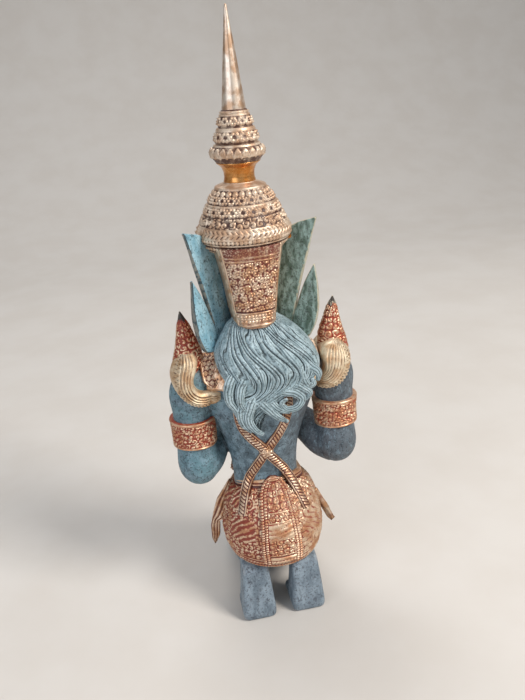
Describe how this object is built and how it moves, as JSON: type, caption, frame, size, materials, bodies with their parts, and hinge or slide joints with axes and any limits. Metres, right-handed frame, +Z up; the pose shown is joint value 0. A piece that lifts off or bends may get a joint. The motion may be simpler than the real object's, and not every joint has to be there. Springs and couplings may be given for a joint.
{
  "type": "thepphanom angel statue",
  "caption": "Kneeling praying thepphanom angel in patinated cast bronze with gilt crown, forked ear blades, flame epaulettes and hip cloth.",
  "frame": {"origin": "on the ground plane under the middle of the bounding box", "axes": "+Z up to the tip of the spire, -Y the way the figure faces, +X the figure's left"},
  "size_m": [0.1016, 0.0864, 0.31],
  "materials": {
    "patinated_bronze": "matte",
    "gilding": "satin"
  },
  "bodies": {
    "root": {"thepphanom_angel": "patinated_bronze"}
  },
  "joints": []
}
